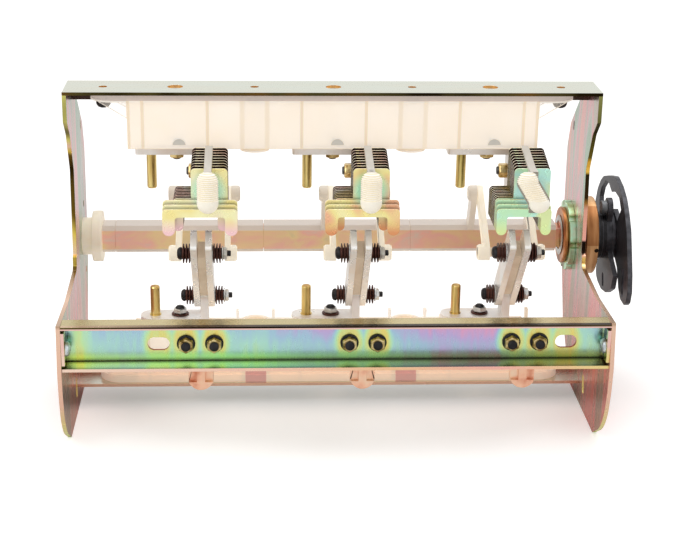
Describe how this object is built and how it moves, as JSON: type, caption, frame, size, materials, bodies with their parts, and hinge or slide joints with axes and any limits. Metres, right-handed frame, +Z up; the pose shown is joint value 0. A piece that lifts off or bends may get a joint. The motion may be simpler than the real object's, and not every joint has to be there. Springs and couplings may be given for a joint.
{
  "type": "load break switch mechanism",
  "caption": "Open frame load break switch: insulated shaft turns knife blades between line contacts under arc chutes, an open middle and earthing contacts.",
  "frame": {"origin": "middle of the footprint at the feet's lower edge", "axes": "+X along the operating shaft towards the drive levers, -Y the front with the earthing contacts, +Z up"},
  "size_m": [0.56, 0.3076, 0.318],
  "materials": {
    "passivated_steel": "yellow iridescent zinc passivation on sheet steel",
    "arc_plate_steel": "yellow zinc passivated thin steel",
    "milky_moulding": "unfilled milky white nylon-like moulding",
    "silvered_copper": "silver plated copper, slightly tarnished",
    "copper": "bare copper",
    "yellow_zinc": "yellow zinc plating",
    "bronze": "turned bronze",
    "dark_spring_steel": "oil blackened spring steel",
    "black_steel": "black oxide",
    "bright_steel": "bright zinc plated steel"
  },
  "bodies": {
    "frame": {"left_side_plate": "passivated_steel", "right_side_plate": "passivated_steel", "top_beam": "passivated_steel", "bottom_beam": "passivated_steel", "front_channel": "passivated_steel", "frame_screws": "black_steel", "upper_tray": "milky_moulding", "lower_tray": "milky_moulding", "terminal_studs": "yellow_zinc", "clamp_bolts": "yellow_zinc", "clamp_disc_washers": "dark_spring_steel", "clamp_nuts": "bright_steel", "earth_bolts": "black_steel", "earth_nuts": "black_steel", "arc_side_bolts": "black_steel", "left_bearing": "milky_moulding", "right_bearing": "bronze", "bearing_lock_nut": "bright_steel", "upper_contact_1": "silvered_copper", "upper_contact_2": "silvered_copper", "upper_contact_3": "silvered_copper", "lower_contact_1": "silvered_copper", "lower_contact_2": "silvered_copper", "lower_contact_3": "silvered_copper", "earth_contact_1": "copper", "earth_contact_2": "copper", "earth_contact_3": "copper", "arc_plates_1": "arc_plate_steel", "arc_plates_2": "arc_plate_steel", "arc_plates_3": "arc_plate_steel", "arc_comb_1": "milky_moulding", "arc_comb_2": "milky_moulding", "arc_comb_3": "milky_moulding"},
    "shaft": {"drive_shaft": "bright_steel", "end_sleeve": "milky_moulding", "crank_1": "milky_moulding", "crank_2": "milky_moulding", "crank_3": "milky_moulding", "crank_pins": "bright_steel", "drive_disc": "bronze", "drive_lever": "black_steel", "lever_roller": "bright_steel", "drive_hub": "black_steel", "sector_lever": "black_steel", "shaft_end_nut": "bright_steel"},
    "blades_1": {"blade_pair_1": "silvered_copper", "blade_spacer_1": "milky_moulding", "spring_bolts_1": "black_steel", "spring_washers_1": "dark_spring_steel"},
    "link_1": {"link_1": "milky_moulding"},
    "blades_2": {"blade_pair_2": "silvered_copper", "blade_spacer_2": "milky_moulding", "spring_bolts_2": "black_steel", "spring_washers_2": "dark_spring_steel"},
    "link_2": {"link_2": "milky_moulding"},
    "blades_3": {"blade_pair_3": "silvered_copper", "blade_spacer_3": "milky_moulding", "spring_bolts_3": "black_steel", "spring_washers_3": "dark_spring_steel"},
    "link_3": {"link_3": "milky_moulding"}
  },
  "joints": [
    {"name": "shaft_turn", "type": "hinge", "parent": "frame", "child": "shaft", "pos_m": [-0.026, 0.06616, 0.1459], "axis": [1, 0, 0], "range_deg": [-40, 50]},
    {"name": "blade_swing_1", "type": "hinge", "parent": "frame", "child": "blades_1", "pos_m": [-0.1515, 0.00116, 0.1052], "axis": [1, 0, 0], "range_deg": [-40, 50]},
    {"name": "link_pivot_1", "type": "hinge", "parent": "shaft", "child": "link_1", "pos_m": [-0.1515, 0.0412, 0.19847], "axis": [1, 0, 0], "range_deg": [-50, 40]},
    {"name": "blade_swing_2", "type": "hinge", "parent": "frame", "child": "blades_2", "pos_m": [-0.0015, 0.00116, 0.1052], "axis": [1, 0, 0], "range_deg": [-40, 50]},
    {"name": "link_pivot_2", "type": "hinge", "parent": "shaft", "child": "link_2", "pos_m": [-0.0015, 0.0412, 0.19847], "axis": [1, 0, 0], "range_deg": [-50, 40]},
    {"name": "blade_swing_3", "type": "hinge", "parent": "frame", "child": "blades_3", "pos_m": [0.1485, 0.00116, 0.1052], "axis": [1, 0, 0], "range_deg": [-40, 50]},
    {"name": "link_pivot_3", "type": "hinge", "parent": "shaft", "child": "link_3", "pos_m": [0.1485, 0.0412, 0.19847], "axis": [1, 0, 0], "range_deg": [-50, 40]}
  ],
  "couplings": [
    {"joint": "blade_swing_1", "follows": "shaft_turn", "ratio": 1},
    {"joint": "link_pivot_1", "follows": "shaft_turn", "ratio": -1},
    {"joint": "blade_swing_2", "follows": "shaft_turn", "ratio": 1},
    {"joint": "link_pivot_2", "follows": "shaft_turn", "ratio": -1},
    {"joint": "blade_swing_3", "follows": "shaft_turn", "ratio": 1},
    {"joint": "link_pivot_3", "follows": "shaft_turn", "ratio": -1}
  ]
}
